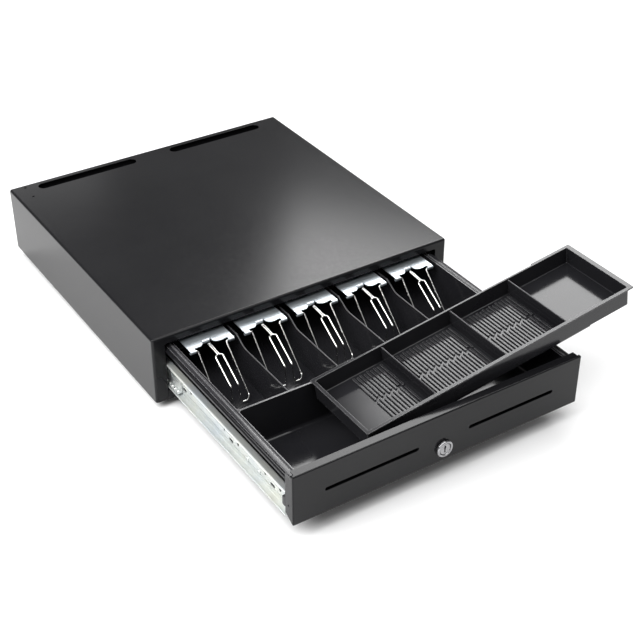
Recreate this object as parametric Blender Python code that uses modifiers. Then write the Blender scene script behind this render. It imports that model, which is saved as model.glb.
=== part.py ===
"""Point-of-sale cash drawer: a steel cabinet, a sliding drawer on ball slides, a bill and coin
till with wire bill clips, a lift-out coin tray, a key lock, and the solenoid latch behind it.

Units are metres, +Z is up and -Y is the front.  The origin is the middle of the flat pad
pressed into the underside of the base plate.  The drawer stands fully open, and the coin tray
is lifted half out of it, tilted, with its right end raised.
"""

import math

import bmesh
import bpy
from mathutils import Matrix, Vector

MM = 0.001

# ---- driving dimensions ----------------------------------------------------------------

GAP = 0.3 * MM              # clearance between pieces that touch
SHEET = 1.2 * MM            # cabinet and drawer front steel
PAN_SHEET = 1.0 * MM        # drawer pan steel

CABINET_WIDTH = 410 * MM
CABINET_DEPTH = 414 * MM
CABINET_HEIGHT = 87.5 * MM
CABINET_BEND = 3 * MM       # outer radius of the folded edges

OPENING_WIDTH = 378 * MM    # the hole that the drawer front fills
OPENING_LOW = 12.5 * MM
OPENING_HIGH = 77.5 * MM
OPENING_CORNER = 3 * MM

TRAVEL = 269.5 * MM         # how far the drawer opens
FRONT_WIDTH = 376.8 * MM
FRONT_LOW = OPENING_LOW + GAP
FRONT_HIGH = OPENING_HIGH - GAP
FRONT_Y = -CABINET_DEPTH / 2 - TRAVEL

PAN_WIDTH = 358.6 * MM
PAN_FLOOR = 13.2 * MM
PAN_TOP = 68.7 * MM
PAN_FLANGE_WIDTH = 376.6 * MM
PAN_REAR = FRONT_Y + 336.5 * MM
RETURNS_END = FRONT_Y + 14.5 * MM        # how far the front panel's sides fold back

TILL_WIDTH = 355.8 * MM
TILL_WALL = 1.9 * MM
TILL_FLOOR = 14.6 * MM
TILL_INSIDE = TILL_FLOOR + 2 * MM
TILL_TOP = 70.8 * MM
TILL_FRONT = FRONT_Y + 10.9 * MM
TILL_CROSS_WALL = FRONT_Y + 127.5 * MM   # front face of the wall behind the front bay
TILL_REAR = PAN_REAR - 6 * MM
BILL_COMPARTMENTS = 5
DIVIDER = 1.8 * MM

TRAY_LENGTH = 365 * MM
TRAY_DEPTH = 109.5 * MM
TRAY_HEIGHT = 27 * MM
TRAY_RIM = 4.2 * MM
TRAY_WALL = 1.8 * MM
TRAY_INSET = 2 * MM         # from the rim's edge to the body
TRAY_HEEL = 62 * MM         # the underside is higher over this length at each end
TRAY_HEEL_RISE = 3.6 * MM
TRAY_FLOOR = TRAY_WALL + TRAY_HEEL_RISE - TRAY_HEIGHT
TRAY_END_LIP = 4.2 * MM     # the rim reaches past the body at the right end
COIN_WALLS = (91.2 * MM, 186.3 * MM, 270.4 * MM)   # where the dividers stand, from the left end
TRAY_TILT = math.radians(8.4)
TRAY_CORNER = Vector((-87.4 * MM, -349.8 * MM, 75.8 * MM))   # its rear left rim corner

RAIL_LOW = 15.5 * MM
RAIL_HIGH = 48.5 * MM
RAIL_OUTER = 188.5 * MM     # outer face of the drawer rails, from the middle plane
RAIL_LENGTH = 319 * MM
RAIL_SHEET = 1.1 * MM
RAIL_FRONT = -191.5 * MM     # the cabinet rails stand clear of the closed front's side returns

WIRE_RADIUS = 0.9 * MM
CLIP_AXIS_Y = -228 * MM
CLIP_AXIS_Z = 69.6 * MM
CLIP_PLATE_WIDTH = 56 * MM

LOCK_HEIGHT = 31 * MM
LOCK_RADIUS = 10.2 * MM

LATCH_AXIS_Y = 170 * MM
LATCH_AXIS_Z = 36 * MM
LATCH_HOLE = 2.3 * MM       # radius of the holes for the latch pin
EJECTOR_X = 60 * MM
EJECTOR_Z = 40 * MM
EJECTOR_TRAVEL = 20 * MM

BASE_TOP = 2 * SHEET + GAP  # where the parts bolted to the base plate start
ABOVE_ALL = 100 * MM        # above every part of the cabinet and drawer, for cutters
COLLECTION = "cash_drawer"


# ---- scene and materials ---------------------------------------------------------------

def clear_scene():
    for item in list(bpy.data.objects):
        bpy.data.objects.remove(item, do_unlink=True)


def new_collection(name):
    collection = bpy.data.collections.new(name)
    bpy.context.scene.collection.children.link(collection)
    return collection


def material(name, colour, roughness, metallic=0.0):
    finish = bpy.data.materials.new(name)
    finish.use_nodes = True
    shader = finish.node_tree.nodes["Principled BSDF"]
    shader.inputs["Base Color"].default_value = (*colour, 1.0)
    shader.inputs["Roughness"].default_value = roughness
    shader.inputs["Metallic"].default_value = metallic
    finish.diffuse_color = (*colour, 1.0)
    return finish


clear_scene()
PARTS = new_collection(COLLECTION)
CUTTERS = new_collection("cutters")

BLACK_STEEL = material("powder_coated_steel", (0.028, 0.028, 0.030), 0.42)
ZINC = material("zinc_plated_steel", (0.56, 0.59, 0.62), 0.32, 1.0)
CHROME = material("chromed_wire", (0.72, 0.72, 0.72), 0.15, 1.0)
BLACK_PLASTIC = material("black_plastic", (0.016, 0.016, 0.018), 0.28)
RUBBER = material("black_rubber", (0.02, 0.02, 0.02), 0.8)
COPPER = material("coil_winding", (0.45, 0.16, 0.06), 0.4, 0.4)
SOCKET_PLASTIC = material("socket_plastic", (0.05, 0.05, 0.055), 0.5)


# ---- shapes ----------------------------------------------------------------------------

def link_mesh(name, mesh, finish=None):
    item = bpy.data.objects.new(name, mesh)
    if finish is None:
        CUTTERS.objects.link(item)
        item.hide_render = True
        item.display_type = "WIRE"
    else:
        PARTS.objects.link(item)
        mesh.materials.append(finish)
    return item


def block(name, low, high, finish=None):
    """A box from its lowest to its highest corner."""
    low, high = Vector(low), Vector(high)
    shape = bmesh.new()
    bmesh.ops.create_cube(shape, size=1.0)
    for vertex in shape.verts:
        for axis in range(3):
            vertex.co[axis] = (low[axis] + high[axis]) / 2 + vertex.co[axis] * (high[axis] - low[axis])
    mesh = bpy.data.meshes.new(name)
    shape.to_mesh(mesh)
    shape.free()
    return link_mesh(name, mesh, finish)


def mirrored_block(name, side, low, high, finish=None):
    """A box given for the right side, on the side that `side` says (1 right, -1 left)."""
    near, far = sorted((side * low[0], side * high[0]))
    return block(name, (near, low[1], low[2]), (far, high[1], high[2]), finish)


def disc_points(centre, radius, steps=16, start=0.0, sweep=2 * math.pi):
    closed = abs(sweep) > 6.28
    count = steps if closed else steps + 1
    points = []
    for index in range(count):
        angle = start + sweep * index / steps
        points.append((centre[0] + radius * math.cos(angle), centre[1] + radius * math.sin(angle)))
    return points


def slot_points(centre, length, width, steps=6):
    """A slot with round ends, lying along the first direction."""
    reach = (length - width) / 2
    right = disc_points((centre[0] + reach, centre[1]), width / 2, steps, -math.pi / 2, math.pi)
    left = disc_points((centre[0] - reach, centre[1]), width / 2, steps, math.pi / 2, math.pi)
    return right + left


AXES = {
    # two drawing directions of each plane, and the direction of its thickness
    "x": (Vector((0, 1, 0)), Vector((0, 0, 1)), Vector((1, 0, 0))),
    "y": (Vector((1, 0, 0)), Vector((0, 0, 1)), Vector((0, -1, 0))),
    "z": (Vector((1, 0, 0)), Vector((0, 1, 0)), Vector((0, 0, 1))),
}


def slab(name, normal, outlines, start, end, finish=None):
    """Flat outlines (the first is the edge, the others are holes) given thickness along an axis."""
    curve = bpy.data.curves.new(name, "CURVE")
    curve.dimensions = "2D"
    curve.fill_mode = "BOTH"
    curve.extrude = abs(end - start) / 2
    for outline in outlines:
        spline = curve.splines.new("POLY")
        spline.points.add(len(outline) - 1)
        for point, (u, v) in zip(spline.points, outline):
            point.co = (u, v, 0, 1)
        spline.use_cyclic_u = True
    drawing = bpy.data.objects.new(name + "_drawing", curve)
    CUTTERS.objects.link(drawing)
    mesh = mesh_from(drawing)
    across, upward, out = AXES[normal]
    turn = Matrix((across, upward, out)).transposed().to_4x4()
    axis = "xyz".index(normal)
    shift = Vector((0, 0, 0))
    shift[axis] = (start + end) / 2
    mesh.transform(Matrix.Translation(shift) @ turn)
    return link_mesh(name, mesh, finish)


def mesh_from(drawing):
    """The evaluated mesh of a curve object, with its caps welded on; the curve is removed."""
    bpy.context.view_layer.update()
    evaluated = drawing.evaluated_get(bpy.context.evaluated_depsgraph_get())
    mesh = bpy.data.meshes.new_from_object(evaluated)
    mesh.name = drawing.name
    shape = bmesh.new()
    shape.from_mesh(mesh)
    bmesh.ops.remove_doubles(shape, verts=shape.verts, dist=1e-6)
    bmesh.ops.recalc_face_normals(shape, faces=shape.faces)
    shape.to_mesh(mesh)
    shape.free()
    mesh.materials.clear()
    bpy.data.objects.remove(drawing, do_unlink=True)
    return mesh


def rod(name, normal, centre, radius, start, end, finish=None, steps=16, bore=0.0):
    """A round bar or tube along an axis; centre is in the plane's two drawing directions."""
    outlines = [disc_points(centre, radius, steps)]
    if bore > 0:
        outlines.append(disc_points(centre, bore, steps))
    item = slab(name, normal, outlines, start, end, finish)
    smooth(item)
    return item


def smooth(item):
    item.data.shade_smooth()
    item.data.set_sharp_from_angle(angle=math.radians(40))


def boolean(target, tool, operation):
    modifier = target.modifiers.new(tool.name, "BOOLEAN")
    modifier.operation = operation
    modifier.solver = "EXACT"
    modifier.object = tool
    return target


def cut(target, *tools):
    for tool in tools:
        boolean(target, tool, "DIFFERENCE")
    return target


def join(target, *tools):
    for tool in tools:
        boolean(target, tool, "UNION")
    return target


def bevel(item, width, segments=2):
    modifier = item.modifiers.new("bevel", "BEVEL")
    modifier.width = width
    modifier.segments = segments
    modifier.limit_method = "ANGLE"
    return item


def turned(name, profile, location, normal, finish, steps=24):
    """A lathe shape: profile is (radius, height), turned about a vertical or a forward axis."""
    mesh = bpy.data.meshes.new(name)
    shape = bmesh.new()
    corners = [shape.verts.new((radius, 0, height)) for radius, height in profile]
    for first, second in zip(corners, corners[1:]):
        shape.edges.new((first, second))
    if profile[0][0] > 0:
        shape.edges.new((corners[-1], corners[0]))
    shape.to_mesh(mesh)
    shape.free()
    item = link_mesh(name, mesh, finish)
    screw = item.modifiers.new("turn", "SCREW")
    screw.axis = "Z"
    screw.steps = steps
    screw.render_steps = steps
    screw.use_merge_vertices = True
    screw.merge_threshold = 1e-5
    screw.use_smooth_shade = False
    item.location = location
    if normal == "-y":
        item.rotation_euler = (math.pi / 2, 0, 0)
    return item


def rounded_path(corners, radius, steps=3):
    """The corner points of a bent wire with each corner rounded by a short curve."""
    points = [Vector(corners[0])]
    for before, corner, after in zip(corners, corners[1:], corners[2:]):
        before, corner, after = Vector(before), Vector(corner), Vector(after)
        reach = min(radius, (before - corner).length * 0.45, (after - corner).length * 0.45)
        entry = corner + (before - corner).normalized() * reach
        leave = corner + (after - corner).normalized() * reach
        for index in range(steps + 1):
            share = index / steps
            points.append(entry.lerp(corner, share).lerp(corner.lerp(leave, share), share))
    points.append(Vector(corners[-1]))
    return points


def wire(name, points, radius, finish, resolution=1):
    curve = bpy.data.curves.new(name, "CURVE")
    curve.dimensions = "3D"
    curve.bevel_depth = radius
    curve.bevel_resolution = resolution
    curve.use_fill_caps = True
    spline = curve.splines.new("POLY")
    spline.points.add(len(points) - 1)
    for point, place in zip(spline.points, points):
        point.co = (*place, 1)
    curve.materials.append(finish)
    item = bpy.data.objects.new(name, curve)
    PARTS.objects.link(item)
    return item


# ---- placing ---------------------------------------------------------------------------

def marker(name, location, parent=None, rotation=(0, 0, 0)):
    """An empty on a joint's axis, or at the corner of a tilted group."""
    empty = bpy.data.objects.new(name, None)
    PARTS.objects.link(empty)
    empty.empty_display_size = 0.02
    empty.location = location
    empty.rotation_euler = rotation
    if parent is not None:
        attach(empty, parent)
    return empty


def world_matrix(item):
    own = item.matrix_parent_inverse @ item.matrix_basis
    if item.parent is None:
        return item.matrix_basis.copy()
    return world_matrix(item.parent) @ own


def attach(item, parent):
    """Parent an item where it stands."""
    item.parent = parent
    item.matrix_parent_inverse = world_matrix(parent).inverted()


def attach_all(items, parent):
    for item in items:
        attach(item, parent)


def seat(items, parent):
    """Parent items that were drawn in the parent's own frame, with their cutters."""
    for item in items:
        item.parent = parent


# ---- cabinet ---------------------------------------------------------------------------

def cabinet_cover():
    half_width, half_depth = CABINET_WIDTH / 2, CABINET_DEPTH / 2
    spare = 12 * MM
    cover = block("cabinet_cover", (-half_width, -half_depth, -spare),
                  (half_width, half_depth + spare, CABINET_HEIGHT), BLACK_STEEL)
    bevel(cover, CABINET_BEND)
    inside = block("cover_inside", (-half_width + SHEET, -half_depth + SHEET, -2 * spare),
                   (half_width - SHEET, half_depth + 2 * spare, CABINET_HEIGHT - SHEET))
    bevel(inside, CABINET_BEND - SHEET)
    below = block("cover_below", (-half_width - spare, -half_depth - spare, -3 * spare),
                  (half_width + spare, half_depth + 3 * spare, 0))
    behind = block("cover_behind", (-half_width - spare, half_depth, -3 * spare),
                   (half_width + spare, half_depth + 3 * spare, CABINET_HEIGHT + spare))
    mouth_corner = OPENING_WIDTH / 2 - OPENING_CORNER
    mouth_outline = disc_points((mouth_corner, OPENING_HIGH - OPENING_CORNER), OPENING_CORNER, 4,
                                0, math.pi / 2)
    mouth_outline += [(-x, z) for x, z in reversed(mouth_outline)]
    mouth_outline += [(-OPENING_WIDTH / 2, -spare), (OPENING_WIDTH / 2, -spare)]
    mouth = slab("cover_mouth", "y", [mouth_outline], -half_depth - spare, -half_depth + spare)
    cut(cover, inside, below, behind, mouth)
    slot_middle = (98 * MM, 193 * MM)
    for side in (-1, 1):
        outline = slot_points((side * slot_middle[0], slot_middle[1]), 143 * MM, 15 * MM)
        cut(cover, slab(f"top_slot_{side}", "z", [outline], CABINET_HEIGHT - spare, CABINET_HEIGHT + spare))
    for index, hole_y in enumerate((200.7 * MM, 173.3 * MM)):
        hole = rod(f"top_hole_{index}", "z", (-185.4 * MM, hole_y), 1.6 * MM,
                   CABINET_HEIGHT - spare, CABINET_HEIGHT + spare, steps=8)
        cut(cover, hole)
    return cover


def base_plate():
    """A sheet inside the cover, with side flanges, a front lip and a pad pressed down."""
    half_width = CABINET_WIDTH / 2 - SHEET - GAP
    half_depth = CABINET_DEPTH / 2 - CABINET_BEND
    low, high = SHEET, 2 * SHEET
    lip_half = OPENING_WIDTH / 2 - GAP
    front = -CABINET_DEPTH / 2
    plate = block("base_plate", (-half_width, -half_depth, low), (half_width, half_depth, high), BLACK_STEEL)
    lip = block("base_lip", (-lip_half, front, 0), (lip_half, front + SHEET, OPENING_LOW - GAP))
    root = block("base_lip_root", (-lip_half, front + SHEET / 2, low), (lip_half, -half_depth + SHEET, high))
    join(plate, root, lip)
    for side in (-1, 1):
        join(plate, mirrored_block(f"base_flange_{side}", side, (half_width - SHEET, -half_depth, low),
                                   (half_width, half_depth, 15 * MM)))
    pad_half, pad_front, pad_back, pad_wall = 100 * MM, -110 * MM, 90 * MM, 2 * MM
    hollow = block("pad_hollow", (pad_wall - pad_half, pad_front + pad_wall, low + SHEET / 4),
                   (pad_half - pad_wall, pad_back - pad_wall, high + SHEET))
    pad = block("pad", (-pad_half, pad_front, 0), (pad_half, pad_back, low + SHEET / 4))
    join(plate, pad)
    cut(plate, hollow)
    return plate


def rear_panel():
    half_width = CABINET_WIDTH / 2 - SHEET - GAP
    back = CABINET_DEPTH / 2
    low, high = BASE_TOP, CABINET_HEIGHT - SHEET - GAP
    corner = CABINET_BEND / 2
    outline = [(-half_width, low), (half_width, low), (half_width, high - corner),
               (half_width - corner, high), (corner - half_width, high), (-half_width, high - corner)]
    panel = slab("rear_panel", "y", [outline], back - SHEET, back, BLACK_STEEL)
    cut(panel, block("socket_hole", (-141 * MM, back - 5 * MM, 19 * MM), (-127 * MM, back + 5 * MM, 31 * MM)))
    for row in range(3):
        outline = slot_points((90 * MM, (30 + 12 * row) * MM), 70 * MM, 4 * MM, 4)
        cut(panel, slab(f"vent_{row}", "y", [outline], back - 5 * MM, back + 5 * MM))
    for side in (-1, 1):
        join(panel, mirrored_block(f"rear_flange_{side}", side, (half_width - SHEET, back - 12 * MM, 16 * MM),
                                   (half_width, back - SHEET / 2, high - CABINET_BEND)))
    return panel


def foot(name, x, y):
    """A rubber foot with a screw recess in its underside."""
    top = 0.9 * MM
    profile = [(0, top), (11 * MM, top), (11 * MM, -3 * MM), (9.5 * MM, -9.5 * MM), (4.5 * MM, -9.5 * MM),
               (4.5 * MM, -5 * MM), (0, -5 * MM)]
    item = turned(name, profile, (x, y, 0), "z", RUBBER, 16)
    return item


def rail_bracket(name, side):
    """A folded channel that holds a slide away from the cabinet's side."""
    inner, outer = 189.1 * MM, CABINET_WIDTH / 2 - SHEET - GAP
    skin = 1 * MM
    low, high = 24 * MM, 40 * MM
    wing = 8 * MM
    profile = [(outer, low - wing), (outer, low + skin), (inner + skin, low + skin),
               (inner + skin, high - skin), (outer, high - skin), (outer, high + wing),
               (outer - skin, high + wing), (outer - skin, high), (inner, high),
               (inner, low), (outer - skin, low), (outer - skin, low - wing)]
    outline = [(side * x, z) for x, z in profile]
    return slab(name, "y", [outline], -196 * MM, 146 * MM, ZINC)


def cabinet_rail(name, side):
    """The fixed member of a slide: a channel that opens towards the drawer."""
    web, tip = 188.8 * MM, 183 * MM
    low, high = 21 * MM, 43 * MM
    skin = RAIL_SHEET
    profile = [(web, low), (web, high), (tip, high), (tip, high - skin), (web - skin, high - skin),
               (web - skin, low + skin), (tip, low + skin), (tip, low)]
    outline = [(side * x, z) for x, z in profile]
    return slab(name, "y", [outline], RAIL_FRONT, 145 * MM, ZINC)


def ball_cage(name, side):
    """The strip that keeps a slide's balls apart; its front end shows under the open drawer."""
    web, tip, skin = 181.2 * MM, 186.8 * MM, 0.8 * MM
    low, high = 18.6 * MM, 45.4 * MM
    profile = [(web, low), (tip, low), (tip, low + skin), (web + skin, low + skin), (web + skin, high - skin),
               (tip, high - skin), (tip, high), (web, high)]
    outline = [(side * x, z) for x, z in profile]
    front = -227 * MM
    cage = slab(name, "y", [outline], front, front + 100 * MM, ZINC)
    first_ball, ball_pitch, ball_hole = 4 * MM, 6.5 * MM, 1.5 * MM
    for index in range(5):
        centre = (side * 184.6 * MM, front + first_ball + ball_pitch * index)
        hole = rod(f"{name}_ball_hole_{index}", "z", centre, ball_hole, low - skin, low + 3 * skin, steps=8)
        cut(cage, hole)
    return cage


# ---- latch behind the drawer -----------------------------------------------------------

def latch_bracket():
    floor, top = BASE_TOP, 43 * MM
    front, back = LATCH_AXIS_Y - 10 * MM, LATCH_AXIS_Y + 10 * MM
    inner, outer = 10 * MM, 10 * MM + SHEET
    bracket = block("latch_bracket", (-outer, front, floor), (outer, back, floor + SHEET), ZINC)
    for side in (-1, 1):
        cheek = mirrored_block(f"latch_cheek_{side}", side, (inner, front, floor), (outer, back, top))
        join(bracket, cheek)
    axis = (LATCH_AXIS_Y, LATCH_AXIS_Z)
    cut(bracket, rod("latch_pin_hole", "x", axis, LATCH_HOLE, -2 * outer, 2 * outer, steps=12))
    return bracket


def latch_lever():
    """A rocker: its hook stands in the striker's window, and its tail is over the plunger."""
    y, z = LATCH_AXIS_Y, LATCH_AXIS_Z
    outline = [(y - 36 * MM, z + 2 * MM), (y - 34.5 * MM, z - 4 * MM), (y - 32 * MM, z - 8.8 * MM),
               (y - 29.7 * MM, z - 8.8 * MM), (y - 29.7 * MM, z - 2.5 * MM), (y - 5 * MM, z - 3 * MM),
               (y, z - 5 * MM), (y + 5 * MM, z - 3 * MM), (y + 24 * MM, z - 3 * MM),
               (y + 24 * MM, z + 1 * MM), (y + 5 * MM, z + 3 * MM), (y, z + 5 * MM), (y - 5 * MM, z + 3 * MM)]
    hole = disc_points((y, z), LATCH_HOLE, 12)
    return slab("latch_lever", "x", [outline, hole], -2.5 * MM, 2.5 * MM, ZINC)


def latch_pin():
    return rod("latch_pin", "x", (LATCH_AXIS_Y, LATCH_AXIS_Z), 2 * MM, -13 * MM, 13 * MM, ZINC, 12)


def latch_spring():
    """A torsion spring round the latch pin, beside the lever."""
    turns, per_turn = 3, 12
    radius, wire_radius = 3.4 * MM, 0.45 * MM
    start, pitch = 3.6 * MM, 1.6 * MM
    points = []
    for index in range(turns * per_turn + 1):
        angle = 2 * math.pi * index / per_turn
        points.append((start + pitch * index / per_turn, LATCH_AXIS_Y + radius * math.cos(angle),
                       LATCH_AXIS_Z + radius * math.sin(angle)))
    return wire("latch_spring", points, wire_radius, CHROME)


def solenoid(axis_y):
    """A coil in a folded frame, open at the front, and the plunger under the latch's tail."""
    half, front, back = 10 * MM, axis_y - 9.6 * MM, axis_y + 11 * MM
    floor, top = BASE_TOP, 23 * MM
    bore, plunger_radius = 3.4 * MM, 2.8 * MM
    centre = (0, axis_y)
    frame = block("solenoid_frame", (-half, front, floor), (half, back, floor + SHEET), ZINC)
    roof = block("solenoid_roof", (-half, front, top), (half, back, top + SHEET))
    spine = block("solenoid_back", (-half, back - SHEET, floor), (half, back, top + SHEET))
    join(frame, roof, spine)
    cut(frame, rod("solenoid_hole", "z", centre, bore, top - SHEET, top + 2 * SHEET, steps=16))
    coil = rod("solenoid_coil", "z", centre, 8.5 * MM, floor + SHEET + GAP, top - GAP, COPPER, 20, bore=bore)
    plunger_top = LATCH_AXIS_Z - 3.6 * MM
    plunger = rod("solenoid_plunger", "z", centre, plunger_radius, 9 * MM, plunger_top, CHROME, 16)
    return frame, coil, plunger


def ejector():
    """A sprung pin in a housing that pushes the drawer out when the latch lets go."""
    axis = (EJECTOR_X, EJECTOR_Z)
    front, back, bore = 140 * MM, 176 * MM, 4.2 * MM
    housing = rod("ejector_housing", "y", axis, 7 * MM, front, back, ZINC, 20, bore=bore)
    stand = block("ejector_stand", (EJECTOR_X - 6 * MM, front + 4 * MM, BASE_TOP),
                  (EJECTOR_X + 6 * MM, back - 4 * MM, EJECTOR_Z - 5 * MM))
    join(housing, stand)
    tip, head_depth = PAN_REAR + TRAVEL + GAP - EJECTOR_TRAVEL, 4 * MM
    pin = rod("ejector_pin", "y", axis, 3.6 * MM, tip + 1 * MM, 160 * MM, ZINC, 16)
    head = rod("ejector_head", "y", axis, 6 * MM, tip, tip + head_depth, steps=16)
    join(pin, head)
    return housing, pin


def connector_socket():
    """A modular jack that shows through the rear panel; its mouth faces backwards."""
    back = CABINET_DEPTH / 2
    left, right, low, high = -140.5 * MM, -127.5 * MM, 19.5 * MM, 30.5 * MM
    wall, recess = 2 * MM, 0.4 * MM
    body = block("connector_socket", (left, back - 18 * MM, low), (right, back - recess, high),
                 SOCKET_PLASTIC)
    mouth = block("socket_mouth", (left + wall, back - 12 * MM, low + wall),
                  (right - wall, back + wall, high - wall))
    return cut(body, mouth)


# ---- drawer ----------------------------------------------------------------------------

def drawer_front():
    """The folded front panel: face, top flange, and side returns whose lower edges slant."""
    half = FRONT_WIDTH / 2
    spare = 20 * MM
    well_behind = FRONT_Y + 80 * MM
    flange_end, flange_low = FRONT_Y + 10.5 * MM, FRONT_HIGH - 4.5 * MM
    front = block("drawer_front", (-half, FRONT_Y, FRONT_LOW), (half, FRONT_Y + 2 * spare, FRONT_HIGH),
                  BLACK_STEEL)
    bevel(front, 1.6 * MM)
    inside = block("front_inside", (-half + SHEET, FRONT_Y + SHEET, FRONT_LOW + SHEET),
                   (half - SHEET, FRONT_Y + 3 * spare, FRONT_HIGH - SHEET))
    behind = block("front_behind", (-half - spare, RETURNS_END, 0), (half + spare, well_behind, ABOVE_ALL))
    above = block("front_above", (-half - spare, flange_end, flange_low),
                  (half + spare, well_behind, ABOVE_ALL))
    cut(front, inside, behind, above)
    slant_top = 21.6 * MM
    slant = [(FRONT_Y + SHEET, 0), (RETURNS_END + spare, 0), (RETURNS_END + spare, slant_top),
             (RETURNS_END - 1 * MM, slant_top), (FRONT_Y + SHEET, FRONT_LOW + SHEET)]
    cut(front, slab("front_slant", "x", [slant], -half - spare, half + spare))
    for side in (-1, 1):
        notch = mirrored_block(f"front_notch_{side}", side, (half - 3.6 * MM, FRONT_Y + 3.5 * MM, flange_low),
                               (half + spare, FRONT_Y + 3 * spare, ABOVE_ALL))
        cut(front, notch)
        outline = slot_points((side * 91.5 * MM, 44.2 * MM), 117 * MM, 4.8 * MM, 4)
        cut(front, slab(f"media_slot_{side}", "y", [outline], FRONT_Y - spare, FRONT_Y + 10 * MM))
    lock_hole = rod("lock_hole", "y", (0, LOCK_HEIGHT), 9.7 * MM, FRONT_Y - spare, FRONT_Y + spare, steps=20)
    return_hole = rod("return_hole", "x", (FRONT_Y + 8.5 * MM, 35 * MM), 1.3 * MM, -half - spare, 0, steps=8)
    return cut(front, lock_hole, return_hole)


def drawer_pan():
    """The tray of sheet steel that carries the till, with a hemmed flange along each side."""
    half, flange_half = PAN_WIDTH / 2, PAN_FLANGE_WIDTH / 2
    front = FRONT_Y + SHEET + GAP
    flange_front = FRONT_Y + 15.2 * MM
    skin = PAN_SHEET
    pan = block("drawer_pan", (-half, front, PAN_FLOOR), (half, PAN_REAR, PAN_FLOOR + skin), BLACK_STEEL)
    lip = block("pan_lip", (-half, front, PAN_FLOOR), (half, front + skin, 24 * MM))
    rear = block("pan_rear", (-half, PAN_REAR - skin, PAN_FLOOR), (half, PAN_REAR, PAN_TOP))
    join(pan, lip, rear)
    for side in (-1, 1):
        wall = mirrored_block(f"pan_wall_{side}", side, (half - skin, front, PAN_FLOOR),
                              (half, PAN_REAR, PAN_TOP))
        flange = mirrored_block(f"pan_flange_{side}", side, (half - skin, flange_front, PAN_TOP - skin),
                                (flange_half, PAN_REAR, PAN_TOP))
        hem = mirrored_block(f"pan_hem_{side}", side, (flange_half - skin, flange_front, PAN_TOP - 3.2 * MM),
                             (flange_half, PAN_REAR, PAN_TOP))
        join(pan, wall, flange, hem)
    cam_room = block("cam_room", (-16 * MM, front - 2 * MM, 10 * MM), (36 * MM, FRONT_Y + 12.2 * MM, 30 * MM))
    return cut(pan, cam_room)


def drawer_rail(name, side):
    """The moving member of a slide: a channel that opens away from the drawer."""
    web = PAN_WIDTH / 2 + GAP
    low, high, lip = RAIL_LOW, RAIL_HIGH, 2.5 * MM
    skin = RAIL_SHEET
    outer = RAIL_OUTER
    profile = [(web, low), (outer, low), (outer, low + lip), (outer - skin, low + lip),
               (outer - skin, low + skin), (web + skin, low + skin), (web + skin, high - skin),
               (outer - skin, high - skin), (outer - skin, high - lip), (outer, high - lip),
               (outer, high), (web, high)]
    outline = [(side * x, z) for x, z in profile]
    front = FRONT_Y + 15 * MM
    return slab(name, "y", [outline], front, front + RAIL_LENGTH, ZINC)


def till_tray():
    half = TILL_WIDTH / 2
    rim_half = half + 7 * MM
    rim_low = PAN_TOP + GAP
    tray = block("till_tray", (-half, TILL_FRONT, TILL_FLOOR), (half, TILL_REAR, TILL_TOP), BLACK_PLASTIC)
    for side in (-1, 1):
        rim = mirrored_block(f"till_rim_{side}", side, (half - TILL_WALL, FRONT_Y + 15.5 * MM, rim_low),
                             (rim_half, TILL_REAR, TILL_TOP))
        join(tray, rim)
    inner = half - TILL_WALL
    front_bay = block("till_bay", (-inner, TILL_FRONT + TILL_WALL, TILL_INSIDE),
                      (inner, TILL_CROSS_WALL, ABOVE_ALL))
    bills = block("till_bills", (-inner, TILL_CROSS_WALL + TILL_WALL, TILL_INSIDE),
                  (inner, TILL_REAR - TILL_WALL, ABOVE_ALL))
    return cut(tray, front_bay, bills)


def compartment_middles():
    inner = TILL_WIDTH - 2 * TILL_WALL
    pitch = inner / BILL_COMPARTMENTS
    return [-inner / 2 + pitch * (index + 0.5) for index in range(BILL_COMPARTMENTS)], pitch


def bill_divider(name, x):
    """A wall between two bill compartments: high at the rear, with a step down to the front."""
    floor = TILL_INSIDE + GAP
    rear = TILL_REAR - TILL_WALL - GAP
    front = TILL_CROSS_WALL + TILL_WALL + GAP
    high, low = 69.5 * MM, 59.5 * MM
    step_rear, step_front = -222 * MM, -241 * MM
    outline = [(front, floor), (rear, floor), (rear, high), (step_rear, high), (step_front, low),
               (front, low)]
    return slab(name, "x", [outline], x - DIVIDER / 2, x + DIVIDER / 2, BLACK_PLASTIC)


def clip_bracket(name, x):
    """A plate over the rear of a bill compartment, with rolled lugs that hold the wire clip."""
    half = CLIP_PLATE_WIDTH / 2
    low, high = TILL_TOP + GAP, TILL_TOP + GAP + PAN_SHEET
    rear = TILL_REAR + 1.5 * MM
    front = CLIP_AXIS_Y
    lug_end, arm_room = 21.2 * MM, 2.7 * MM
    edge = [(-half, rear), (-half, front), (-lug_end, front), (-lug_end, front + arm_room),
            (-11 * MM, front + arm_room), (-8 * MM, front + 5 * MM), (-8 * MM, front + 11.5 * MM),
            (3.5 * MM, front + 11.5 * MM), (4.5 * MM, front + 5 * MM), (8 * MM, front + arm_room),
            (lug_end, front + arm_room), (lug_end, front), (half, front), (half, rear)]
    plate = slab(name, "z", [[(x + u, v) for u, v in edge]], low, high, ZINC)
    hook = block(f"{name}_hook", (x - half, rear - PAN_SHEET, 60 * MM), (x + half, rear, high))
    join(plate, hook)
    lugs = ((-half, -lug_end, front), (lug_end, half, front), (-7 * MM, 2.5 * MM, front + 12 * MM))
    for index, (start, end, y) in enumerate(lugs):
        lug = rod(f"{name}_lug_{index}", "x", (y, CLIP_AXIS_Z), 2.45 * MM, x + start, x + end,
                  steps=12, bore=1.35 * MM)
        join(plate, lug)
    return plate


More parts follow.
